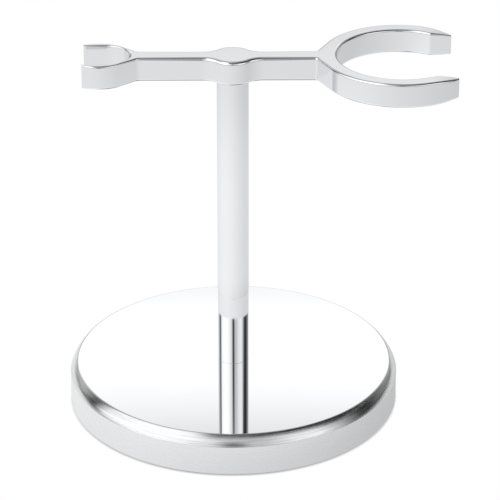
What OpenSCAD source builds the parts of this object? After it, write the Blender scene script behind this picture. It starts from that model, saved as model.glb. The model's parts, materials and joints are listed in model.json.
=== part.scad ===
// Countertop stand for a shaving brush and a safety razor: a weighted round base,
// a plain round post and a one-piece cross-arm with an open fork at each end.
// Millimetres. +Z is up, +X points to the brush fork, and the origin is the centre
// of the base's underside, on the post's axis.

/* [Base] */
// Diameter of the round base
base_d = 90; // [80:1:110]
// Height of the base, with the pad under it
base_h = 11.6; // [11:0.1:16]
// Height of the rounded shoulder around the top face
shoulder_h = 3; // [2:0.1:4]
// Width of the rounded shoulder, seen from above
shoulder_w = 2; // [1.5:0.1:3]
// Radius of the shoulder's arc
shoulder_r = 8; // [3.5:0.1:10]
// Thickness of the turned shell
shell_t = 1.6; // [1.4:0.1:2]
// Thickness of the non-slip pad
pad_t = 1.5; // [1:0.1:2]
// How far the pad stands below the shell's rim
pad_proud = 0.4; // [0.2:0.1:0.8]

/* [Post] */
// Diameter of the post
post_d = 8.5; // [8:0.1:10]
// Length of the post between the base and the cross-arm
post_l = 83.6; // [75:0.1:110]

/* [Cross-arm] */
// Width of the arm, seen from above
arm_w = 5; // [3.5:0.1:6]
// Height of the arm, the hub and both forks
arm_h = 6.6; // [6:0.1:9]
// Diameter of the hub on top of the post
hub_d = 11.6; // [10.4:0.1:13]
// Radius of the blends between the hub and the arm
hub_blend_r = 6; // [3:0.1:7]

/* [Brush fork] */
// Distance from the post's axis to the middle of the ring
brush_x = 44.2; // [42:0.1:50]
// Inside diameter of the ring
brush_inner_d = 33.6; // [32:0.1:36]
// Outside diameter of the ring
brush_outer_d = 41.8; // [40:0.1:44]
// Width of the open mouth
brush_mouth = 28.8; // [26:0.1:29.5]
// Distance from the ring's middle to the squared-off tips
brush_tip = 14.4; // [13.5:0.1:15]
// Length of the tapered ends of the prongs
tip_slope_l = 8; // [5:0.1:10]
// How far the top of the prongs drops towards their tips
tip_drop = 0.8; // [0.4:0.1:1.5]
// How far the underside of the prongs rises towards their tips
tip_lift = 0.5; // [0.2:0.1:1]
// Direction of the point where the flared root leaves the ring, in degrees
brush_root_angle = 26; // [20:1:32]
// Radius of the blends where the flared root joins the arm
brush_blend_r = 1; // [0.5:0.1:4]

/* [Razor fork] */
// Distance from the post's axis to the middle of the fork's outer curve
razor_x = 35.1; // [33:0.1:40]
// Outside diameter of the fork
razor_outer_d = 16.4; // [16:0.1:18]
// Width of the U-shaped slot
razor_slot = 13; // [12:0.1:13.4]
// Distance from the post's axis to the middle of the slot's round end
razor_slot_x = 33.6; // [33:0.1:35]
// Distance from the fork's middle to the squared-off tips
razor_tip = 4.4; // [4:0.1:4.6]
// Direction of the point where the flared root leaves the outer curve, in degrees
razor_root_angle = 52; // [48:1:56]
// Radius of the blends where the flared root joins the arm
razor_blend_r = 2; // [1:0.1:4]

/* [Fasteners] */
// Thread diameter of the screw and of the stud
thread_d = 5; // [4:0.5:5]
// Radial clearance around a thread
thread_gap = 0.05; // [0.02:0.01:0.1]
// Length of the foot screw under its head
screw_l = 16; // [14:1:18]
// Length of the threaded stud
stud_l = 14; // [12:1:16]

/* [Hidden] */
$fn = 96;

eps = 0.01;
base_r = base_d / 2;
rim_z = pad_proud;
roof_z = base_h - shell_t;
cavity_r = base_r - shell_t;
hole_d = thread_d + 2 * thread_gap;

// ballast disc, with a counterbore for the screw's head
ballast_gap = 0.4;
ballast_r = cavity_r - ballast_gap;
ballast_z = pad_t;
web_t = 2.6;
counterbore_d = 12;
counterbore_z = roof_z - web_t;
clear_hole_d = thread_d + 0.6;

// washers and screw, stacked downwards from the ballast's web
washer_d = 10;
washer_t = 1;
washer_z = counterbore_z - washer_t;
spring_d = 8.8;
spring_t = 1.2;
spring_slit = 1;
spring_slit_tilt = 20;
spring_z = washer_z - spring_t;
head_d = 8.5;
head_h = 2.7;
head_chamfer = 0.4;
hex_across = 3;
hex_deep = 1.6;
screw_chamfer = 0.5;

// post, with a tapped hole at each end
post_z = base_h;
post_top_z = post_z + post_l;
post_chamfer = 0.25;
foot_hole_deep = 14;
top_hole_deep = 11;

// stud between post and hub
stud_in_hub = 4.6;
stud_z = post_top_z + stud_in_hub - stud_l;
hub_hole_deep = 5;

// cross-arm
arc_step = 3;
arm_z = post_top_z;
arm_top_z = arm_z + arm_h;
brush_tip_x = brush_x + brush_tip;
slope_x = brush_tip_x - tip_slope_l;
far = 80;

// A rod along +Z with a chamfer at each end.
module chamfered_rod(d, l, chamfer_low, chamfer_high) {
    rotate_extrude()
        polygon([
            [0, 0],
            [d / 2 - chamfer_low, 0],
            [d / 2, chamfer_low],
            [d / 2, l - chamfer_high],
            [d / 2 - chamfer_high, l],
            [0, l]
        ]);
}

// Hexagon socket, measured across its flats.
module hex_socket(across, deep) {
    cylinder(d = across / cos(30), h = deep, $fn = 6);
}

// Half section of the solid that the shell is turned from, with its rounded shoulder.
module shoulder_section() {
    top_r = base_r - shoulder_w;
    side_z = base_h - shoulder_h;
    chord = norm([shoulder_w, shoulder_h]);
    sink = sqrt(shoulder_r * shoulder_r - chord * chord / 4);
    mid = [base_r - shoulder_w / 2, base_h - shoulder_h / 2];
    centre = mid - sink * [shoulder_h, shoulder_w] / chord;
    polygon([
        [0, rim_z],
        [base_r, rim_z],
        [base_r, side_z],
        [top_r, base_h],
        [0, base_h]
    ]);
    intersection() {
        translate(centre) circle(r = shoulder_r);
        polygon([
            [top_r, base_h],
            [base_r, side_z],
            [base_r + 1, side_z],
            [base_r + 1, base_h]
        ]);
    }
}

module base_shell() {
    color("silver")
        difference() {
            rotate_extrude() shoulder_section();
            translate([0, 0, rim_z - 1])
                cylinder(r = cavity_r, h = roof_z - rim_z + 1);
            translate([0, 0, roof_z - 1])
                cylinder(d = clear_hole_d, h = shell_t + 2);
        }
}

module ballast_weight() {
    color("dimgray")
        translate([0, 0, ballast_z])
            difference() {
                cylinder(r = ballast_r, h = roof_z - ballast_z);
                translate([0, 0, -1])
                    cylinder(d = clear_hole_d, h = roof_z - ballast_z + 2);
                translate([0, 0, -1])
                    cylinder(d = counterbore_d, h = counterbore_z - ballast_z + 1);
            }
}

module base_pad() {
    color("black")
        cylinder(r = ballast_r, h = pad_t);
}

module foot_screw() {
    color("gray")
        difference() {
            union() {
                translate([0, 0, spring_z - head_h])
                    chamfered_rod(head_d, head_h, head_chamfer, 0);
                translate([0, 0, spring_z - eps])
                    chamfered_rod(thread_d, screw_l + eps, 0, screw_chamfer);
            }
            translate([0, 0, spring_z - head_h - 1])
                hex_socket(hex_across, hex_deep + 1);
        }
}

module flat_washer() {
    color("lightgray")
        translate([0, 0, washer_z])
            difference() {
                cylinder(d = washer_d, h = washer_t);
                translate([0, 0, -1])
                    cylinder(d = thread_d + 0.3, h = washer_t + 2);
            }
}

// A split ring, squashed flat by the tightened screw.
module spring_washer() {
    color("slategray")
        translate([0, 0, spring_z])
            difference() {
                cylinder(d = spring_d, h = spring_t);
                translate([0, 0, -1])
                    cylinder(d = thread_d + 0.2, h = spring_t + 2);
                translate([spring_d / 2, 0, spring_t / 2])
                    rotate([spring_slit_tilt, 0, 0])
                        cube([spring_d, spring_slit, 3 * spring_t], center = true);
            }
}

module post() {
    color("gainsboro")
        translate([0, 0, post_z])
            difference() {
                chamfered_rod(post_d, post_l, post_chamfer, post_chamfer);
                translate([0, 0, -1])
                    cylinder(d = hole_d, h = foot_hole_deep + 1);
                translate([0, 0, post_l - top_hole_deep])
                    cylinder(d = hole_d, h = top_hole_deep + 1);
            }
}

module top_stud() {
    color("gray")
        translate([0, 0, stud_z])
            difference() {
                chamfered_rod(thread_d, stud_l, screw_chamfer, screw_chamfer);
                translate([0, 0, stud_l - hex_deep])
                    hex_socket(2.5, hex_deep + 1);
            }
}

// Points on an arc about centre c, from angle a0 to a1, with an even step.
function arc_points(c, r, a0, a1) =
    let (steps = ceil(abs(a1 - a0) / arc_step))
    [for (i = [0:steps]) let (a = a0 + (a1 - a0) * i / steps) c + r * [cos(a), sin(a)]];

// Middle of a blend of radius blend_r between the arm's side and a disc of radius r
// on the arm's centre line, seen from the disc's middle.
function blend_centre(r, blend_r) =
    let (y = arm_w / 2 + blend_r)
    [sqrt((r + blend_r) * (r + blend_r) - y * y), y];

// Middle of the blend between the arm's side and a straight flank that is tangent to a
// disc of radius r in direction angle, seen from the disc's middle.
function root_centre(r, angle, blend_r) =
    let (y = arm_w / 2 + blend_r)
    [(r + blend_r - y * sin(angle)) / cos(angle), y];

// Upper half of the cross-arm's outline, from the razor fork's end to the brush fork's.
// Both forks have a flared root with straight flanks.
function upper_outline() =
    let (
        razor_r = razor_outer_d / 2,
        brush_r = brush_outer_d / 2,
        hub_r = hub_d / 2,
        razor_root = root_centre(razor_r, razor_root_angle, razor_blend_r),
        hub_blend = blend_centre(hub_r, hub_blend_r),
        hub_a = atan2(hub_blend.y, hub_blend.x),
        brush_root = root_centre(brush_r, brush_root_angle, brush_blend_r)
    )
    concat(
        arc_points([-razor_x, 0], razor_r, 180, razor_root_angle),
        arc_points([razor_root.x - razor_x, razor_root.y], razor_blend_r,
                   180 + razor_root_angle, 270),
        arc_points([-hub_blend.x, hub_blend.y], hub_blend_r, 270, 360 - hub_a),
        arc_points([0, 0], hub_r, 180 - hub_a, hub_a),
        arc_points(hub_blend, hub_blend_r, 180 + hub_a, 270),
        arc_points([brush_x - brush_root.x, brush_root.y], brush_blend_r,
                   270, 360 - brush_root_angle),
        arc_points([brush_x, 0], brush_r, 180 - brush_root_angle, 0)
    );

// Both halves of the outline, without the points that adjacent arcs share.
function whole_outline() =
    let (
        upper = upper_outline(),
        last = len(upper) - 1,
        lower = [for (i = [last - 1:-1:1]) [upper[i].x, -upper[i].y]],
        all = concat(upper, lower)
    )
    [for (i = [0:len(all) - 1]) if (i == 0 || norm(all[i] - all[i - 1]) > eps) all[i]];

// Plan of the cross-arm, with both forks opened and their tips squared off.
module arm_plan() {
    difference() {
        polygon(whole_outline());
        translate([brush_x, 0]) circle(d = brush_inner_d);
        translate([brush_x, -brush_mouth / 2]) square([far, brush_mouth]);
        translate([brush_tip_x, -far / 2]) square([far, far]);
        translate([-razor_slot_x, 0]) circle(d = razor_slot);
        translate([-razor_slot_x - far, -razor_slot / 2]) square([far, razor_slot]);
        translate([-razor_x - razor_tip - far, -far / 2]) square([far, far]);
    }
}

// Space that is cut from the prongs' upper face, at z = 0, so that it curves down to
// depth drop at their tips.
module tip_relief(drop) {
    curve_r = (tip_slope_l * tip_slope_l + drop * drop) / (2 * drop);
    difference() {
        translate([slope_x, -far / 2, -2 * drop])
            cube([far, far, far]);
        translate([slope_x, far, -curve_r])
            rotate([90, 0, 0])
                cylinder(r = curve_r, h = 2 * far);
    }
}

module fork_arm() {
    color("silver")
        difference() {
            translate([0, 0, arm_z]) linear_extrude(arm_h) arm_plan();
            translate([0, 0, arm_top_z]) tip_relief(tip_drop);
            translate([0, 0, arm_z]) mirror([0, 0, 1]) tip_relief(tip_lift);
            translate([0, 0, arm_z - 1])
                cylinder(d = hole_d, h = hub_hole_deep + 1);
        }
}

base_shell();
ballast_weight();
base_pad();
foot_screw();
flat_washer();
spring_washer();
post();
top_stud();
fork_arm();
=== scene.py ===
"""A countertop stand for a shaving brush and a safety razor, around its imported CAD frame.

The turned base, the post, the one-piece cross-arm and the pad are rebuilt here with softened
edges and plated, brushed or rubber surfaces. The pieces inside the base keep their CAD shape.
Lengths are in metres, in the CAD frame, and dimensions that the frame doesn't give are named
in millimetres at the top.
"""

import json
import math

import bmesh
import bpy
import numpy as np
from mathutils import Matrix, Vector


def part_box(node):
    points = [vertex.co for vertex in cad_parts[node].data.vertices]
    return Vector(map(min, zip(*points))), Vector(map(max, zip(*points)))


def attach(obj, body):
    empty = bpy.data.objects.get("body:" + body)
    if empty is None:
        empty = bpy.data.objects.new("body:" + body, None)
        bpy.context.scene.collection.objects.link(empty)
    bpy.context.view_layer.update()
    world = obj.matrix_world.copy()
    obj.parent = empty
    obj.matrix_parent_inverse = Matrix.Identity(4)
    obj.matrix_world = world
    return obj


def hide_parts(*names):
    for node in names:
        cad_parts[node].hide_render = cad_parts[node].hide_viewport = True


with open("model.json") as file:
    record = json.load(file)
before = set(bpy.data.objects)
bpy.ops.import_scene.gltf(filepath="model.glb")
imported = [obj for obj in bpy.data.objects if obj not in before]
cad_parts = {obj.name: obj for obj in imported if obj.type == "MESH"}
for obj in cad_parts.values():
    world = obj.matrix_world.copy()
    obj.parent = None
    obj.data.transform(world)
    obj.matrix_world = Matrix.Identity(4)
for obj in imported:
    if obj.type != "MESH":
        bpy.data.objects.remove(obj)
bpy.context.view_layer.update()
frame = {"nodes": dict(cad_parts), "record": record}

MM = 0.001
# Vertices this close to a cutting plane count as on it, in metres
SNAP = 0.5e-6

# Base, in millimetres
SHOULDER_H = 3.0
SHOULDER_W = 2.0
SHOULDER_R = 8.0
SHELL_T = 1.6
SHELL_HOLE_R = 2.8
CREASE_R = 0.5
LOW_CREASE_R = 0.12
RIM_EDGE_R = 0.3
PAD_EDGE_R = 0.4

# Post, in millimetres
POST_EDGE_R = 0.25
POST_FOOT_EDGE_R = 0.06
TAPPED_R = 2.55
FOOT_HOLE_DEEP = 14.0
TOP_HOLE_DEEP = 11.0

# Cross-arm, in millimetres and degrees
ARM_W = 5.0
HUB_R = 5.8
HUB_BLEND_R = 6.0
HUB_HOLE_DEEP = 5.0
MOUTH_HALF = 14.4
MOUTH_CORNER_R = 1.5
BRUSH_ROOT_ANGLE = 26.0
BRUSH_BLEND_R = 1.0
TIP_SLOPE_L = 8.0
TIP_DROP = 0.8
TIP_LIFT = 0.5
RAZOR_X = 35.1
RAZOR_R = 8.2
RAZOR_ROOT_ANGLE = 52.0
RAZOR_BLEND_R = 2.0
TIP_CORNER_R = 0.12
ARM_EDGE_R = 0.65
HUB_EDGE_R = 0.95
UNDER_EDGE_R = 0.65
# Slices along the tapered tips, and steps around a quarter of a rounded edge
TIP_SLICES = 10
EDGE_STEPS = 8
# An edge's radius is at most this share of the metal's thickness anywhere within this reach
EDGE_SHARE = 0.42
EDGE_REACH = 1.2
# Walls nearer than this to an outline point are its own
SELF_CLEAR = 0.05
# Angle left free on a disc beside a rounded tip corner
TIP_CLEAR = 1.5

# Camera: lens in millimetres, place in metres, tilt in degrees and yaw in radians
LENS = 209.3
CAMERA_AT = (-0.0018, -0.7079, 0.3943)
CAMERA_DOWN = 26.3
CAMERA_YAW = -0.009


# --------------------------------------------------------------------------- outlines


# Largest turn between two points of a rounded corner, in degrees
CORNER_STEP = 12.0


def arc(centre, radius, start, end, step=3.0):
    """Points on an arc from angle start to angle end, all in degrees, at most a step apart."""
    steps = max(2, math.ceil(abs(end - start) / step))
    angles = [math.radians(start + (end - start) * i / steps) for i in range(steps + 1)]
    return [(centre[0] + radius * math.cos(a), centre[1] + radius * math.sin(a)) for a in angles]


def round_corner(before, corner, after, radius):
    """Points on the arc that rounds one corner of an outline."""
    corner = Vector(corner)
    to_before = (Vector(before) - corner).normalized()
    to_after = (Vector(after) - corner).normalized()
    half = to_before.angle(to_after) / 2
    centre = corner + (to_before + to_after).normalized() * radius / math.sin(half)
    first = corner + to_before * radius / math.tan(half) - centre
    turn = math.pi - 2 * half
    side = 1 if to_before.x * to_after.y - to_before.y * to_after.x < 0 else -1
    steps = max(2, math.ceil(math.degrees(turn) / CORNER_STEP))
    points = []
    for i in range(steps + 1):
        a = side * turn * i / steps
        points.append((centre.x + first.x * math.cos(a) - first.y * math.sin(a),
                       centre.y + first.x * math.sin(a) + first.y * math.cos(a)))
    return points


def rounded(corners):
    """An outline in which each corner (x, y, radius) with a radius is rounded."""
    points = []
    for i, (x, y, radius) in enumerate(corners):
        if radius:
            before, after = corners[i - 1], corners[(i + 1) % len(corners)]
            points += round_corner(before[:2], (x, y), after[:2], radius)
        else:
            points.append((x, y))
    return points


def outline_normals(points, closed):
    """Outward normals of an anticlockwise outline. The longer of two segments leads."""
    points = np.array(points, float)
    ahead = np.roll(points, -1, axis=0) - points
    if not closed:
        ahead[-1] = 0
    behind = np.roll(ahead, 1, axis=0)
    total = sum(segment * np.linalg.norm(segment, axis=1)[:, None] for segment in (ahead, behind))
    total /= np.linalg.norm(total, axis=1)[:, None]
    return np.stack([total[:, 1], -total[:, 0]], axis=1)


# --------------------------------------------------------------------------- meshes


def finish_mesh(name, bm, normal_layer):
    """Makes an object from bm, smooth, with the normals kept in normal_layer."""
    mesh = bpy.data.meshes.new(name)
    normals = [v[normal_layer].normalized() for v in bm.verts]
    bm.to_mesh(mesh)
    bm.free()
    mesh.shade_smooth()
    mesh.normals_split_custom_set_from_vertices(normals)
    obj = bpy.data.objects.new(name, mesh)
    bpy.context.scene.collection.objects.link(obj)
    return obj


def turned_rings(bm, layer, outline, normals, segments):
    """Rings of vertices, in metres, for an (r, z) outline in millimetres."""
    rings = []
    for (r, z), (nr, nz) in zip(outline, normals):
        ring = []
        for k in range(segments if r > 0 else 1):
            a = 2 * math.pi * k / segments
            v = bm.verts.new((r * MM * math.cos(a), r * MM * math.sin(a), z * MM))
            v[layer] = Vector((nr * math.cos(a), nr * math.sin(a), nz))
            ring.append(v)
        rings.append(ring)
    return rings


def lathe(name, outline, segments, closed):
    """Turns an (r, z) outline in millimetres about Z. An open outline starts and ends on the axis."""
    bm = bmesh.new()
    layer = bm.verts.layers.float_vector.new("normal")
    normals = outline_normals(outline, closed)
    if not closed:
        normals[0] = (0, math.copysign(1, normals[0][1]))
        normals[-1] = (0, math.copysign(1, normals[-1][1]))
    rings = turned_rings(bm, layer, outline, normals, segments)
    pairs = list(zip(rings, rings[1:]))
    if closed:
        pairs.append((rings[-1], rings[0]))
    for low, high in pairs:
        for k in range(segments):
            m = (k + 1) % segments
            if len(low) == 1:
                bm.faces.new((low[0], high[m], high[k]))
            elif len(high) == 1:
                bm.faces.new((low[k], low[m], high[0]))
            else:
                bm.faces.new((low[k], low[m], high[m], high[k]))
    return finish_mesh(name, bm, layer)


# --------------------------------------------------------------------------- base and post


def shoulder_arc(base_r, base_h):
    """Points on the shoulder's arc, from the side up to the top face."""
    top_r, side_z = base_r - SHOULDER_W, base_h - SHOULDER_H
    chord = math.hypot(SHOULDER_W, SHOULDER_H)
    sink = math.sqrt(SHOULDER_R ** 2 - chord ** 2 / 4)
    centre = (base_r - SHOULDER_W / 2 - sink * SHOULDER_H / chord,
              base_h - SHOULDER_H / 2 - sink * SHOULDER_W / chord)
    start = math.degrees(math.atan2(side_z - centre[1], base_r - centre[0]))
    end = math.degrees(math.atan2(base_h - centre[1], top_r - centre[0]))
    return arc(centre, SHOULDER_R, start, end, 4.0)


def make_base_shell():
    """The turned shell: mirror top, rounded shoulder, straight side, open underneath."""
    low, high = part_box("base_shell")
    base_r, rim_z, base_h = high.x / MM, low.z / MM, high.z / MM
    cavity_r, roof_z = base_r - SHELL_T, base_h - SHELL_T
    shoulder = shoulder_arc(base_r, base_h)
    outline = rounded(
        [(cavity_r, rim_z, RIM_EDGE_R), (base_r, rim_z, RIM_EDGE_R)]
        + [(*shoulder[0], LOW_CREASE_R)]
        + [(*p, 0) for p in shoulder[1:-1]]
        + [(*shoulder[-1], CREASE_R),
           (SHELL_HOLE_R, base_h, CREASE_R), (SHELL_HOLE_R, roof_z, CREASE_R),
           (cavity_r, roof_z, RIM_EDGE_R)]
    )
    return lathe("base_shell_turned", outline, 256, closed=True)


def make_pad():
    """The non-slip pad, a full disc with soft edges."""
    low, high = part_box("base_pad")
    r, z0, z1 = high.x / MM, low.z / MM, high.z / MM
    outline = rounded([(0, z0, 0), (r, z0, PAD_EDGE_R), (r, z1, PAD_EDGE_R / 2), (0, z1, 0)])
    return lathe("non_slip_pad", outline, 192, closed=False)


def make_post():
    """The post, a plain polished rod with softened ends and a tapped hole in each."""
    low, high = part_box("post")
    r, z0, z1 = high.x / MM, low.z / MM, high.z / MM
    edge = POST_EDGE_R
    outline = rounded([
        (0, z0 + FOOT_HOLE_DEEP, 0),
        (TAPPED_R, z0 + FOOT_HOLE_DEEP, edge),
        (TAPPED_R, z0, edge),
        (r, z0, POST_FOOT_EDGE_R),
        (r, z1, edge),
        (TAPPED_R, z1, edge),
        (TAPPED_R, z1 - TOP_HOLE_DEEP, edge),
        (0, z1 - TOP_HOLE_DEEP, 0),
    ])
    return lathe("post_rod", outline, 128, closed=False)


# --------------------------------------------------------------------------- cross-arm


def blend_centre(radius, blend_r):
    """Middle of a blend between the arm's side and a disc on the arm's centre line."""
    y = ARM_W / 2 + blend_r
    return math.sqrt((radius + blend_r) ** 2 - y * y), y


def root_centre(radius, angle, blend_r):
    """Middle of a blend between the arm's side and a straight flank that touches a disc."""
    y = ARM_W / 2 + blend_r
    turn = math.radians(angle)
    return (radius + blend_r - y * math.sin(turn)) / math.cos(turn), y


def upper_half(brush_x, brush_r, ring_r, brush_end, slot_x, slot_r, razor_end):
    """The +Y half of the arm's plan, from the razor slot's round end to the brush ring."""
    razor_tip = razor_end - RAZOR_X
    razor_tip_a = math.degrees(math.acos(razor_tip / RAZOR_R))
    brush_tip_a = math.degrees(math.acos((brush_end - brush_x) / brush_r))
    razor_root = root_centre(RAZOR_R, RAZOR_ROOT_ANGLE, RAZOR_BLEND_R)
    brush_root = root_centre(brush_r, BRUSH_ROOT_ANGLE, BRUSH_BLEND_R)
    hub = blend_centre(HUB_R, HUB_BLEND_R)
    hub_a = math.degrees(math.atan2(hub[1], hub[0]))
    corner_y = MOUTH_HALF + MOUTH_CORNER_R
    corner_x = math.sqrt((ring_r + MOUTH_CORNER_R) ** 2 - corner_y ** 2)
    corner_a = math.degrees(math.atan2(corner_y, corner_x))

    slot = arc((-slot_x, 0), slot_r, 0, 90)
    razor_corners = rounded([
        (*slot[-1], 0),
        (-razor_end, slot_r, TIP_CORNER_R),
        (-razor_end, RAZOR_R * math.sin(math.radians(razor_tip_a)), TIP_CORNER_R),
        (-RAZOR_X, RAZOR_R, 0),
    ])[1:-1]
    brush_corners = rounded([
        (brush_x, brush_r, 0),
        (brush_end, brush_r * math.sin(math.radians(brush_tip_a)), TIP_CORNER_R),
        (brush_end, MOUTH_HALF, TIP_CORNER_R),
        (brush_x, MOUTH_HALF, 0),
    ])[1:-1]
    return (
        slot
        + razor_corners
        + arc((-RAZOR_X, 0), RAZOR_R, 180 - razor_tip_a - TIP_CLEAR, RAZOR_ROOT_ANGLE)
        + arc((razor_root[0] - RAZOR_X, razor_root[1]), RAZOR_BLEND_R, 180 + RAZOR_ROOT_ANGLE, 270, 6)
        + arc((-hub[0], hub[1]), HUB_BLEND_R, 270, 360 - hub_a)
        + arc((0, 0), HUB_R, 180 - hub_a, hub_a)[1:]
        + arc(hub, HUB_BLEND_R, 180 + hub_a, 270)[1:]
        + arc((brush_x - brush_root[0], brush_root[1]), BRUSH_BLEND_R, 270, 360 - BRUSH_ROOT_ANGLE, 6)
        + arc((brush_x, 0), brush_r, 180 - BRUSH_ROOT_ANGLE, brush_tip_a + TIP_CLEAR, 2)
        + brush_corners
        + arc((brush_x + corner_x, corner_y), MOUTH_CORNER_R, 270, 180 + corner_a, 6)
        + arc((brush_x, 0), ring_r, corner_a, 180, 2)[1:]
    )


def arm_outline():
    """The whole plan of the cross-arm in millimetres, anticlockwise."""
    low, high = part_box("fork_arm")
    mounts = {m["name"]: m for m in frame["record"]["mounts"]}
    ring, slot = mounts["brush_ring"], mounts["razor_slot"]
    upper = upper_half(
        ring["pos_m"][0] / MM, high.y / MM, ring["dims"]["r_mm"], high.x / MM,
        -slot["pos_m"][0] / MM, slot["dims"]["r_mm"], -low.x / MM,
    )
    lower = [(x, -y) for x, y in reversed(upper[1:-1])]
    return np.array((upper + lower)[::-1])


def wall_thickness(points, normals):
    """Distance from each outline point to the far side of the metal, straight inwards."""
    span = np.roll(points, -1, axis=0) - points
    thickness = np.full(len(points), np.inf)
    for i, (p, n) in enumerate(zip(points, normals)):
        ray = -n
        cross = ray[0] * span[:, 1] - ray[1] * span[:, 0]
        gap = points - p
        with np.errstate(divide="ignore", invalid="ignore"):
            along = (gap[:, 0] * span[:, 1] - gap[:, 1] * span[:, 0]) / cross
            where = (gap[:, 0] * ray[1] - gap[:, 1] * ray[0]) / cross
        hit = (along > SELF_CLEAR) & (where >= 0) & (where <= 1)
        if hit.any():
            thickness[i] = along[hit].min()
    return thickness


def edge_radii(points, normals, wanted):
    """The wanted edge radius at each outline point, kept small where the metal is thin."""
    limit = EDGE_SHARE * wall_thickness(points, normals)
    apart = np.linalg.norm(points[:, None] - points[None], axis=2)
    near_limit = np.where(apart < EDGE_REACH, limit[None], np.inf).min(axis=1)
    radius = np.minimum(wanted, near_limit)
    weight = np.clip(1 - apart / EDGE_REACH, 0, None)
    return (weight @ radius) / weight.sum(axis=1)


def ring_of_verts(bm, layer, plan, normals, inset, z, tilt):
    """One closed ring of the arm's skin: plan moved inwards, at heights z, leaning by tilt."""
    moved = plan - normals * inset[:, None]
    ring = []
    for p, n, height in zip(moved, normals, z):
        v = bm.verts.new((p[0] * MM, p[1] * MM, height * MM))
        v[layer] = Vector((n[0] * math.cos(tilt), n[1] * math.cos(tilt), math.sin(tilt)))
        ring.append(v)
    return ring


def bridge(bm, low, high):
    """Quads between two rings with the same number of vertices."""
    for k in range(len(low)):
        m = (k + 1) % len(low)
        bm.faces.new((low[k], low[m], high[m], high[k]))


def ring_edges(bm, ring):
    """The edges around a ring of vertices."""
    return [bm.edges.get((ring[k], ring[(k + 1) % len(ring)])) for k in range(len(ring))]


def hub_hole(bm, layer, z0):
    """The blind hole for the stud. Returns the ring at its mouth."""
    end = z0 + HUB_HOLE_DEEP
    outline = rounded([(0, end, 0), (TAPPED_R, end, 0.3), (TAPPED_R, z0, 0.2), (TAPPED_R + 1, z0, 0)])
    normals = outline_normals(outline, False)
    rings = turned_rings(bm, layer, outline[1:-1], normals[1:-1], 48)
    for low, high in zip(rings, rings[1:]):
        bridge(bm, low, high)
    bm.faces.new(rings[0][::-1])
    return rings[-1]


def fill_cap(bm, rings, up):
    """A flat cap inside the first ring, around any others, that faces up or down."""
    edges = [edge for ring in rings for edge in ring_edges(bm, ring)]
    made = bmesh.ops.triangle_fill(bm, use_beauty=True, use_dissolve=False, edges=edges)
    for face in made["geom"]:
        if isinstance(face, bmesh.types.BMFace):
            face.normal_update()
            if (face.normal.z > 0) != up:
                face.normal_flip()


def taper_tips(bm, layer, slope_x, mid_z):
    """Brings the faces of the brush prongs together in a curve towards their tips."""
    for k in range(TIP_SLICES):
        x = (slope_x + TIP_SLOPE_L * k / TIP_SLICES) * MM
        bmesh.ops.bisect_plane(bm, geom=bm.verts[:] + bm.edges[:] + bm.faces[:],
                               dist=SNAP, plane_co=(x, 0, 0), plane_no=(1, 0, 0))
    for v in bm.verts:
        past = v.co.x / MM - slope_x
        if past > 0:
            above = v.co.z / MM > mid_z
            depth = TIP_DROP if above else TIP_LIFT
            radius = (TIP_SLOPE_L ** 2 + depth ** 2) / (2 * depth)
            moved = radius - math.sqrt(radius ** 2 - past ** 2)
            v.co.z += (-moved if above else moved) * MM
            n = v[layer].normalized()
            v[layer] = Vector((n.x + abs(n.z) * past / (radius - moved), n.y, n.z))


def make_arm():
    """The cross-arm, one polished casting with softened edges and open forks."""
    low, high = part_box("fork_arm")
    z0, z1 = low.z / MM, high.z / MM
    plan = arm_outline()
    normals = outline_normals(plan, True)
    hub_share = np.clip((HUB_R + HUB_BLEND_R - np.abs(plan[:, 0])) / HUB_BLEND_R, 0, 1)
    wanted = ARM_EDGE_R + (HUB_EDGE_R - ARM_EDGE_R) * hub_share ** 2 * (3 - 2 * hub_share)
    over = edge_radii(plan, normals, wanted)
    under = np.minimum(over, UNDER_EDGE_R)
    bm = bmesh.new()
    layer = bm.verts.layers.float_vector.new("normal")
    rings = []
    for i in range(EDGE_STEPS + 1):
        tilt = math.radians(-90 + 90 * i / EDGE_STEPS)
        rings.append(ring_of_verts(bm, layer, plan, normals, under * (1 - math.cos(tilt)),
                                   z0 + under * (1 + math.sin(tilt)), tilt))
    for i in range(EDGE_STEPS + 1):
        tilt = math.radians(90 * i / EDGE_STEPS)
        rings.append(ring_of_verts(bm, layer, plan, normals, over * (1 - math.cos(tilt)),
                                   z1 - over * (1 - math.sin(tilt)), tilt))
    for a, b in zip(rings, rings[1:]):
        bridge(bm, a, b)
    mouth = hub_hole(bm, layer, z0)
    fill_cap(bm, [rings[0], mouth], up=False)
    fill_cap(bm, [rings[-1]], up=True)
    taper_tips(bm, layer, high.x / MM - TIP_SLOPE_L, (z0 + z1) / 2)
    return finish_mesh("cross_arm_casting", bm, layer)


# --------------------------------------------------------------------------- materials


# Chrome plating in its thinner and its thicker cloudy patches, on turned and on cast metal
PLATING_DARK, PLATING_LIGHT = (0.838, 0.845, 0.862), (0.882, 0.888, 0.9)
CASTING_DARK, CASTING_LIGHT = (0.832, 0.84, 0.861), (0.886, 0.893, 0.914)
# The brushed lines on the base's shoulder
LINE_DARK, LINE_LIGHT = (0.6, 0.605, 0.615), (0.9, 0.905, 0.91)
# Turned lines: the scale of their noise across them, and on the way round
LINES_ACROSS, LINES_AROUND = 4500.0, 3.5
# The band of the line noise that makes a line, and the depth of the lines on the side as a share
LINE_FROM, LINE_TO, SIDE_GROOVES = 0.3, 0.7, 0.08
GROOVE_STRENGTH, GROOVE_DEEP = 0.45, 0.00004
# Roughness of the shoulder's lines, what the side adds to it, and that of the mirror top
LINE_SMOOTH, LINE_ROUGH, SIDE_ROUGH = 0.09, 0.19, 0.14
MIRROR_SMOOTH, MIRROR_ROUGH = 0.003, 0.012
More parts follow.
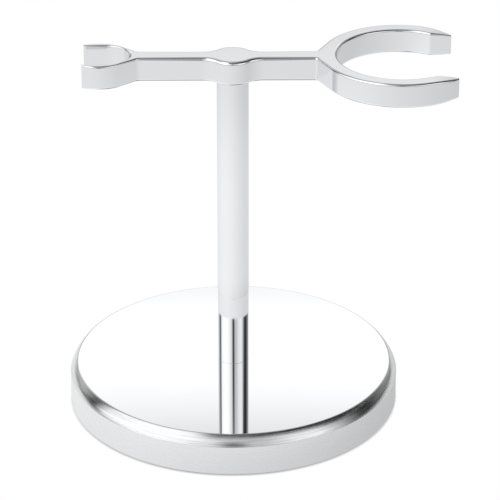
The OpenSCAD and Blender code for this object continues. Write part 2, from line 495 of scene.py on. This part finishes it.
# The pad, the ballast and the steel fasteners
RUBBER_DARK, RUBBER_DUSTY = (0.022, 0.022, 0.024), (0.055, 0.054, 0.052)
PRIMER_DARK, PRIMER_WORN = (0.03, 0.03, 0.032), (0.085, 0.08, 0.075)
ZINC_DARK, ZINC_LIGHT = (0.5, 0.51, 0.53), (0.72, 0.72, 0.7)


class Nodes:
    """A short way to write the nodes of one material or world."""

    def __init__(self, tree):
        self.tree = tree

    def add(self, kind, **settings):
        node = self.tree.nodes.new(kind)
        for name, value in settings.items():
            setattr(node, name, value)
        return node

    def join(self, source, target):
        self.tree.links.new(source, target)

    def put(self, value, socket):
        if isinstance(value, (int, float, tuple)):
            socket.default_value = value
        else:
            self.join(value, socket)

    def math(self, operation, *values):
        node = self.add("ShaderNodeMath", operation=operation)
        for value, socket in zip(values, node.inputs):
            self.put(value, socket)
        return node.outputs[0]

    def ramp(self, value, x0, x1, y0=0.0, y1=1.0, smooth=True):
        node = self.add("ShaderNodeMapRange")
        node.interpolation_type = "SMOOTHSTEP" if smooth else "LINEAR"
        names = ("Value", "From Min", "From Max", "To Min", "To Max")
        for v, name in zip((value, x0, x1, y0, y1), names):
            self.put(v, node.inputs[name])
        return node.outputs[0]

    def noise(self, vector, scale, detail, roughness=0.5):
        node = self.add("ShaderNodeTexNoise")
        self.join(vector, node.inputs["Vector"])
        node.inputs["Scale"].default_value = scale
        node.inputs["Detail"].default_value = detail
        node.inputs["Roughness"].default_value = roughness
        return node.outputs["Fac"]

    def place(self):
        return self.add("ShaderNodeTexCoord").outputs["Object"]

    def parts(self, vector):
        node = self.add("ShaderNodeSeparateXYZ")
        self.join(vector, node.inputs[0])
        return node.outputs

    def vector(self, x, y, z):
        node = self.add("ShaderNodeCombineXYZ")
        for value, socket in zip((x, y, z), node.inputs):
            self.put(value, socket)
        return node.outputs[0]

    def tint(self, amount, dark, light):
        node = self.add("ShaderNodeMix", data_type="RGBA")
        self.put(amount, node.inputs["Factor"])
        node.inputs["A"].default_value = (*dark, 1)
        node.inputs["B"].default_value = (*light, 1)
        return node.outputs["Result"]

    def length(self, x, y):
        squares = self.math("ADD", self.math("MULTIPLY", x, x), self.math("MULTIPLY", y, y))
        return self.math("SQRT", squares)

    def bump(self, height, strength, distance):
        node = self.add("ShaderNodeBump")
        node.inputs["Strength"].default_value = strength
        node.inputs["Distance"].default_value = distance
        self.join(height, node.inputs["Height"])
        return node.outputs[0]


def new_material(name, metallic):
    """An empty surface material: its nodes and its shader."""
    material = bpy.data.materials.new(name)
    material.use_nodes = True
    nodes = Nodes(material.node_tree)
    shader = material.node_tree.nodes["Principled BSDF"]
    shader.inputs["Metallic"].default_value = metallic
    return material, nodes, shader


def polished_chrome(name, dark, light, wave, polish, haze):
    """Mirror plating between two tints, with a faint wave, and wiped haze over its polish."""
    material, nodes, shader = new_material(name, 1.0)
    place = nodes.place()
    cloud = nodes.noise(place, 60.0, 3.0)
    nodes.join(nodes.tint(cloud, dark, light), shader.inputs["Base Color"])
    wipe = nodes.noise(place, 900.0, 4.0, 0.6)
    rough = nodes.ramp(nodes.math("MULTIPLY", wipe, cloud), 0.15, 0.45, polish, polish + haze)
    nodes.join(rough, shader.inputs["Roughness"])
    swell = nodes.noise(place, 110.0, 1.0)
    nodes.join(nodes.bump(swell, wave, 0.0002), shader.inputs["Normal"])
    return material


def turned_chrome(name):
    """Plated base: mirror top face, brushed shoulder with turned lines, and a duller side."""
    material, nodes, shader = new_material(name, 1.0)
    low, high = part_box("base_shell")
    place = nodes.place()
    x, y, z = nodes.parts(place)
    radius = nodes.length(x, y)
    top_r = high.x - SHOULDER_W * MM
    turned = nodes.ramp(radius, top_r - 0.00025, top_r + 0.0002)
    side_z = high.z - SHOULDER_H * MM
    shoulder = nodes.math("MULTIPLY", turned, nodes.ramp(z, side_z - 0.0002, side_z + 0.0001))
    around = nodes.math("ARCTAN2", y, x)
    lines = nodes.vector(nodes.math("MULTIPLY", radius, LINES_ACROSS),
                         nodes.math("MULTIPLY", z, LINES_ACROSS),
                         nodes.math("MULTIPLY", around, LINES_AROUND))
    fine = nodes.noise(lines, 1.0, 4.0, 0.7)
    cloud = nodes.noise(place, 45.0, 3.0)
    plating = nodes.tint(cloud, PLATING_DARK, PLATING_LIGHT)
    line_tint = nodes.tint(nodes.ramp(fine, LINE_FROM, LINE_TO), LINE_DARK, LINE_LIGHT)
    colour = nodes.add("ShaderNodeMix", data_type="RGBA")
    nodes.join(shoulder, colour.inputs["Factor"])
    nodes.join(plating, colour.inputs["A"])
    nodes.join(line_tint, colour.inputs["B"])
    nodes.join(colour.outputs["Result"], shader.inputs["Base Color"])
    off_shoulder = nodes.math("SUBTRACT", 1.0, shoulder)
    brushed = nodes.math("ADD", nodes.ramp(fine, LINE_FROM, LINE_TO, LINE_SMOOTH, LINE_ROUGH),
                         nodes.math("MULTIPLY", off_shoulder, SIDE_ROUGH))
    mirror = nodes.ramp(cloud, 0.3, 0.8, MIRROR_SMOOTH, MIRROR_ROUGH)
    rough = nodes.math("ADD", nodes.math("MULTIPLY", brushed, turned),
                       nodes.math("MULTIPLY", mirror, nodes.math("SUBTRACT", 1.0, turned)))
    nodes.join(rough, shader.inputs["Roughness"])
    share = nodes.ramp(shoulder, 0.0, 1.0, SIDE_GROOVES, 1.0, smooth=False)
    grooves = nodes.math("MULTIPLY", nodes.math("MULTIPLY", fine, share), turned)
    nodes.join(nodes.bump(grooves, GROOVE_STRENGTH, GROOVE_DEEP), shader.inputs["Normal"])
    nodes.join(nodes.add("ShaderNodeTangent", direction_type="RADIAL", axis="Z").outputs[0],
               shader.inputs["Tangent"])
    shader.inputs["Anisotropic"].default_value = 0.7
    shader.inputs["Anisotropic Rotation"].default_value = 0.25
    return material


def rubber(name):
    """Black non-slip rubber with a fine pebbled grain and some dust."""
    material, nodes, shader = new_material(name, 0.0)
    place = nodes.place()
    dust = nodes.noise(place, 70.0, 4.0)
    dusty = nodes.ramp(dust, 0.35, 0.8)
    nodes.join(nodes.tint(dusty, RUBBER_DARK, RUBBER_DUSTY), shader.inputs["Base Color"])
    nodes.join(nodes.ramp(dust, 0.2, 0.9, 0.72, 0.95), shader.inputs["Roughness"])
    pebble = nodes.add("ShaderNodeTexVoronoi", feature="SMOOTH_F1")
    nodes.join(place, pebble.inputs["Vector"])
    pebble.inputs["Scale"].default_value = 1400.0
    nodes.join(nodes.bump(pebble.outputs["Distance"], 0.6, 0.0002), shader.inputs["Normal"])
    return material


def primed_iron(name):
    """Cast iron under black primer, with a sand-cast skin."""
    material, nodes, shader = new_material(name, 0.0)
    place = nodes.place()
    stain = nodes.noise(place, 90.0, 4.0)
    nodes.join(nodes.tint(stain, PRIMER_DARK, PRIMER_WORN), shader.inputs["Base Color"])
    nodes.join(nodes.ramp(stain, 0.2, 0.8, 0.5, 0.8), shader.inputs["Roughness"])
    nodes.join(nodes.bump(nodes.noise(place, 900.0, 5.0), 0.7, 0.0004), shader.inputs["Normal"])
    return material


def zinc_steel(name):
    """Zinc-plated steel: grey with a spangle and a dull sheen."""
    material, nodes, shader = new_material(name, 1.0)
    place = nodes.place()
    spangle = nodes.noise(place, 400.0, 3.0)
    nodes.join(nodes.tint(spangle, ZINC_DARK, ZINC_LIGHT), shader.inputs["Base Color"])
    nodes.join(nodes.ramp(spangle, 0.2, 0.8, 0.22, 0.42), shader.inputs["Roughness"])
    nodes.join(nodes.bump(nodes.noise(place, 1600.0, 3.0), 0.3, 0.0001), shader.inputs["Normal"])
    return material


# --------------------------------------------------------------------------- studio


# The surroundings depend on direction only. Azimuths run in degrees from the front, -Y (0), round
# to +X (90) and the back (180). Elevations are in degrees above the horizon.

# Brightness seen by the camera past the stand, and below the horizon in reflections
WHITE_LEVEL = 1.0
BELOW_LEVEL, BELOW_SOFT = 0.8, 6.0
# Brightness of the surroundings against azimuth: a panel on each side, a duller stretch in front,
# a narrow dark gap at the left, a wide one at the right, and pale again towards the back
SOFTBOXES = [
    (-180, 0.95), (-125, 0.53), (-113, 0.09), (-108, 0.1), (-98, 1.15), (-75, 1.35), (-40, 1.3),
    (0, 0.68), (20, 0.68), (38, 1.0), (60, 1.1), (93, 0.06), (105, 0.03), (140, 0.42), (180, 0.95),
]
# Brightness at the ramp's full scale
SOFTBOX_SCALE = 1.4
# Brightness behind the stand against elevation, then half that panel's width and its softness
BACK_PANEL = [(0, 0.3), (16, 0.45), (22.5, 0.88), (27, 1.07), (27.6, 1.18), (28.9, 1.16),
              (29.5, 1.02), (30, 0.88), (38, 0.4)]
BACK_HALF, BACK_SOFT = 30.0, 25.0
# The dark gap in front: half its width and its softness, then its lowest and highest elevation
# and the softness of those two ends
FRONT_HALF, FRONT_SOFT, FRONT_LOW, FRONT_HIGH, FRONT_END_SOFT = 7.5, 13.0, 9.0, 31.0, 5.0
# Its level at the bottom and at the top, which change over between two elevations
FRONT_LEVEL, FRONT_TOP_LEVEL, FRONT_TURN_FROM, FRONT_TURN_TO = 0.2, 0.05, 22.0, 27.0
# The share of the level left at the horizon, and the elevation from which all of it is there
HORIZON_LEVEL, HORIZON_TOP = 0.3, 7.0
# The dark gap overhead. In a direction's parts (side, ahead, up) its front border is
# ahead = OVERHEAD_FRONT - OVERHEAD_BEND * side ** OVERHEAD_POWER.
OVERHEAD_FRONT, OVERHEAD_BEND, OVERHEAD_POWER, OVERHEAD_SOFT = 0.67, 0.72, 2.5, 0.06
OVERHEAD_LEFT, OVERHEAD_LEFT_SOFT = -0.25, 0.2
OVERHEAD_BACK, OVERHEAD_BACK_TURN, OVERHEAD_BACK_SOFT = 0.05, 0.4, 0.3
# It starts between these two values of up, and darkens towards the right until this side
OVERHEAD_UP_FROM, OVERHEAD_UP_TO = 0.42, 0.52
OVERHEAD_LEVEL, OVERHEAD_RIGHT_LEVEL, OVERHEAD_RIGHT_TO = 0.12, 0.03, 0.6
# A thin seam of light all round except behind, between two elevations. It falls by a fraction of
# a degree towards the back, and is as bright as the floor on that side, times a factor.
SEAM_LOW, SEAM_HIGH, SEAM_FALL, SEAM_SOFT = 27.0, 27.66, 0.18, 0.04
SEAM_MATCH = 1.1


def angle_from(nodes, side, ahead, azimuth):
    """Azimuth of a direction, in degrees, counted from a given azimuth."""
    c, s = math.cos(math.radians(azimuth)), math.sin(math.radians(azimuth))
    across = nodes.math("SUBTRACT", nodes.math("MULTIPLY", side, c), nodes.math("MULTIPLY", ahead, s))
    along = nodes.math("ADD", nodes.math("MULTIPLY", ahead, c), nodes.math("MULTIPLY", side, s))
    return nodes.math("DEGREES", nodes.math("ARCTAN2", across, along))


def above_border(nodes, value, border, soft):
    """0 below a border and 1 above it, with a soft change between."""
    return nodes.ramp(value, border - soft / 2, border + soft / 2)


def within(nodes, value, low, high, soft):
    """1 between low and high, 0 outside, with soft borders."""
    rise = above_border(nodes, value, low, soft)
    fall = nodes.ramp(value, high - soft / 2, high + soft / 2, 1.0, 0.0)
    return nodes.math("MULTIPLY", rise, fall)


def mix_level(nodes, level, mask, target):
    """level outside the mask and target inside it."""
    outside = nodes.math("MULTIPLY", level, nodes.math("SUBTRACT", 1.0, mask))
    return nodes.math("ADD", outside, nodes.math("MULTIPLY", mask, target))


def steps_of(nodes, value, stops):
    """A level that runs through (value, level) stops in straight stretches."""
    level = stops[0][1]
    for (v0, l0), (v1, l1) in zip(stops, stops[1:]):
        level = nodes.math("ADD", nodes.ramp(value, v0, v1, 0.0, l1 - l0, smooth=False), level)
    return level


def softbox_ramp(nodes, azimuth):
    """Brightness of the softboxes against azimuth."""
    node = nodes.add("ShaderNodeValToRGB")
    stops = node.color_ramp.elements
    for azimuth_at, _ in SOFTBOXES[1:-1]:
        stops.new((azimuth_at + 180) / 360)
    for stop, (azimuth_at, level) in zip(stops, SOFTBOXES):
        stop.position = (azimuth_at + 180) / 360
        stop.color = (*[level / SOFTBOX_SCALE] * 3, 1)
    nodes.join(nodes.math("DIVIDE", nodes.math("ADD", azimuth, 180.0), 360.0), node.inputs["Fac"])
    return nodes.math("MULTIPLY", node.outputs["Color"], SOFTBOX_SCALE)


def overhead_gap(nodes, side, ahead, up):
    """1 in the dark gap between the front panels and the back one, 0 elsewhere."""
    right = nodes.math("MAXIMUM", side, 0.0)
    bend = nodes.math("MULTIPLY", nodes.math("POWER", right, OVERHEAD_POWER), OVERHEAD_BEND)
    border = nodes.math("ADD", nodes.math("ADD", ahead, bend), -OVERHEAD_FRONT)
    front = nodes.ramp(border, -OVERHEAD_SOFT, OVERHEAD_SOFT, 1.0, 0.0)
    left = above_border(nodes, side, OVERHEAD_LEFT, OVERHEAD_LEFT_SOFT)
    turned = nodes.math("ADD", ahead, nodes.math("MULTIPLY", right, OVERHEAD_BACK_TURN))
    back = above_border(nodes, turned, OVERHEAD_BACK, OVERHEAD_BACK_SOFT)
    above = nodes.ramp(up, OVERHEAD_UP_FROM, OVERHEAD_UP_TO)
    ends = nodes.math("MULTIPLY", back, above)
    return nodes.math("MULTIPLY", nodes.math("MULTIPLY", front, left), ends)


def make_world():
    """White softboxes all round with dark gaps between them, which the plating reflects."""
    world = bpy.data.worlds.new("studio")
    world.use_nodes = True
    bpy.context.scene.world = world
    nodes = Nodes(world.node_tree)
    ray = nodes.add("ShaderNodeTexCoord").outputs["Generated"]
    side, away, up = nodes.parts(ray)
    ahead = nodes.math("MULTIPLY", away, -1.0)
    elevation = nodes.math("DEGREES", nodes.math("ARCSINE", up))
    azimuth = angle_from(nodes, side, ahead, 0)
    level = softbox_ramp(nodes, azimuth)

    behind = within(nodes, angle_from(nodes, side, ahead, 180), -BACK_HALF, BACK_HALF, BACK_SOFT)
    level = mix_level(nodes, level, behind, steps_of(nodes, elevation, BACK_PANEL))

    horizon = nodes.ramp(elevation, 0.0, HORIZON_TOP, HORIZON_LEVEL, 1.0)
    level = nodes.math("MULTIPLY", level, horizon)

    around = within(nodes, azimuth, -FRONT_HALF, FRONT_HALF, FRONT_SOFT)
    height = within(nodes, elevation, FRONT_LOW, FRONT_HIGH, FRONT_END_SOFT)
    front_level = nodes.ramp(elevation, FRONT_TURN_FROM, FRONT_TURN_TO, FRONT_LEVEL, FRONT_TOP_LEVEL)
    level = mix_level(nodes, level, nodes.math("MULTIPLY", around, height), front_level)

    gap = overhead_gap(nodes, side, ahead, up)
    gap_level = nodes.ramp(side, 0.0, OVERHEAD_RIGHT_TO, OVERHEAD_LEVEL, OVERHEAD_RIGHT_LEVEL)
    level = mix_level(nodes, level, gap, gap_level)

    half_turn = nodes.math("COSINE", nodes.math("RADIANS", nodes.math("MULTIPLY", azimuth, 0.5)))
    fall = nodes.math("MULTIPLY", nodes.math("SUBTRACT", 1.0, half_turn), SEAM_FALL)
    seam = within(nodes, nodes.math("ADD", elevation, fall), SEAM_LOW, SEAM_HIGH, SEAM_SOFT)
    from_bright = nodes.math("RADIANS", nodes.math("SUBTRACT", azimuth, FLOOR_BRIGHT_AZIMUTH))
    swing = nodes.math("MULTIPLY", nodes.math("COSINE", from_bright), FLOOR_SWING * SEAM_MATCH)
    in_front = nodes.math("SUBTRACT", 1.0, behind)
    level = mix_level(nodes, level, nodes.math("MULTIPLY", seam, in_front),
                      nodes.math("ADD", swing, FLOOR_MEAN * SEAM_MATCH))
    below = nodes.ramp(elevation, -BELOW_SOFT, 0.0, 1.0, 0.0)
    level = mix_level(nodes, level, below, BELOW_LEVEL)
    seen = nodes.add("ShaderNodeLightPath").outputs["Is Camera Ray"]
    level = mix_level(nodes, level, seen, WHITE_LEVEL)
    background = world.node_tree.nodes["Background"]
    background.inputs["Color"].default_value = (1.0, 1.0, 1.0, 1)
    nodes.join(level, background.inputs["Strength"])


# The floor's size, in metres
FLOOR_R = 3.0
# Brightness of the floor in reflections: its mean, and how much brighter it is towards one side.
# That side's extra brightness is painted light.
FLOOR_MEAN, FLOOR_SWING, FLOOR_BRIGHT_AZIMUTH = 0.89, 0.115, -60.0
# Painted shade close around the base: the share of the floor's brightness left there, lighter
# towards one side, and the distance over which that shade fades out
BASE_SHADE_MEAN, BASE_SHADE_SWING, BASE_SHADE_BRIGHT_AZIMUTH, BASE_SHADE_REACH = 0.83, 0.09, -100.0, 0.035
# Painted shade further out: the shares left there, and the distances between which they set in
FLOOR_FAR, FLOOR_FAR_FROM, FLOOR_FAR_TO = 0.87, 0.14, 0.24
FLOOR_END, FLOOR_END_TO = 0.5, 0.9
# The thin shade where the base touches the floor: its level, and how far it reaches in and out
CONTACT_LEVEL, CONTACT_IN, CONTACT_OUT = 0.4, 0.001, 0.0006


def swung_level(nodes, x, y, from_axis, bright_azimuth, mean, swing):
    """A level around the axis that is highest towards one azimuth and lowest opposite it."""
    bright = math.radians(bright_azimuth)
    along = nodes.math("SUBTRACT", nodes.math("MULTIPLY", x, math.sin(bright)),
                       nodes.math("MULTIPLY", y, math.cos(bright)))
    towards = nodes.math("DIVIDE", along, from_axis)
    return nodes.math("ADD", nodes.math("MULTIPLY", towards, swing), mean)


def make_floor():
    """A plain table top that glows white, seen only from above, with a shade under the base.

    Reflections see painted light and shade on it: a little brighter towards one side, darker
    close around the base and duller further out.
    """
    bpy.ops.mesh.primitive_circle_add(vertices=96, radius=FLOOR_R, fill_type="NGON")
    floor = bpy.context.object
    floor.name = "floor"
    material = bpy.data.materials.new("white_table")
    material.use_nodes = True
    material.node_tree.nodes.clear()
    nodes = Nodes(material.node_tree)
    x, y, _ = nodes.parts(nodes.place())
    base_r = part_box("base_shell")[1].x
    from_axis = nodes.length(x, y)
    # Painted light: the floor's reflected brightness rises towards one side
    level = swung_level(nodes, x, y, from_axis, FLOOR_BRIGHT_AZIMUTH, FLOOR_MEAN, FLOOR_SWING)
    # Painted shade close around the base, lighter towards one side, fading out over a short distance
    painted_base_shade_level = swung_level(nodes, x, y, from_axis, BASE_SHADE_BRIGHT_AZIMUTH, BASE_SHADE_MEAN, BASE_SHADE_SWING)
    painted_base_shade = nodes.ramp(from_axis, base_r, base_r + BASE_SHADE_REACH, painted_base_shade_level, 1.0)
    # Painted shade: the floor's reflected brightness falls further out
    far = nodes.ramp(from_axis, FLOOR_FAR_FROM, FLOOR_FAR_TO, 1.0, FLOOR_FAR)
    end = nodes.ramp(from_axis, FLOOR_FAR_TO, FLOOR_END_TO, 1.0, FLOOR_END)
    outer = nodes.math("MULTIPLY", far, end)
    level = nodes.math("MULTIPLY", nodes.math("MULTIPLY", level, painted_base_shade), outer)
    seen = nodes.add("ShaderNodeLightPath").outputs["Is Camera Ray"]
    level = mix_level(nodes, level, seen, WHITE_LEVEL)
    contact = nodes.ramp(from_axis, base_r - CONTACT_IN, base_r + CONTACT_OUT, CONTACT_LEVEL, 1.0)
    glow = nodes.add("ShaderNodeEmission")
    nodes.join(nodes.math("MULTIPLY", level, contact), glow.inputs["Strength"])
    clear = nodes.add("ShaderNodeBsdfTransparent")
    mix = nodes.add("ShaderNodeMixShader")
    nodes.join(nodes.add("ShaderNodeNewGeometry").outputs["Backfacing"], mix.inputs["Fac"])
    nodes.join(glow.outputs[0], mix.inputs[1])
    nodes.join(clear.outputs[0], mix.inputs[2])
    nodes.join(mix.outputs[0], nodes.add("ShaderNodeOutputMaterial").inputs["Surface"])
    floor.data.materials.append(material)


def make_camera():
    """The camera stands in front of the stand, a little above it, and looks down."""
    data = bpy.data.cameras.new("camera")
    data.lens = LENS
    data.clip_start = 0.05
    data.clip_end = 10.0
    camera = bpy.data.objects.new("camera", data)
    camera.location = CAMERA_AT
    camera.rotation_euler = (math.radians(90 - CAMERA_DOWN), 0, CAMERA_YAW)
    bpy.context.scene.collection.objects.link(camera)
    bpy.context.scene.camera = camera


# --------------------------------------------------------------------------- assembly


def dress(piece, material, body, node):
    """Gives a new piece its material and its body, and hides the CAD node it stands for."""
    piece.data.materials.append(material)
    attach(piece, body)
    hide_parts(node)


def repaint(node, material):
    """Gives a kept CAD node a new material."""
    data = frame["nodes"][node].data
    data.materials.clear()
    data.materials.append(material)


dress(make_base_shell(), turned_chrome("turned_chrome"), "stand", "base_shell")
dress(make_pad(), rubber("pad_rubber"), "stand", "base_pad")
post_chrome = polished_chrome("post_chrome", PLATING_DARK, PLATING_LIGHT,
                              wave=0.01, polish=0.004, haze=0.008)
dress(make_post(), post_chrome, "stand", "post")
arm_chrome = polished_chrome("arm_chrome", CASTING_DARK, CASTING_LIGHT,
                             wave=0.04, polish=0.015, haze=0.025)
dress(make_arm(), arm_chrome, "cross_arm", "fork_arm")
repaint("ballast_weight", primed_iron("primed_iron"))
zinc = zinc_steel("zinc_steel")
for node_name in ("foot_screw", "flat_washer", "spring_washer", "top_stud"):
    repaint(node_name, zinc)

make_world()
make_floor()
make_camera()
bpy.context.scene.view_settings.view_transform = "Standard"
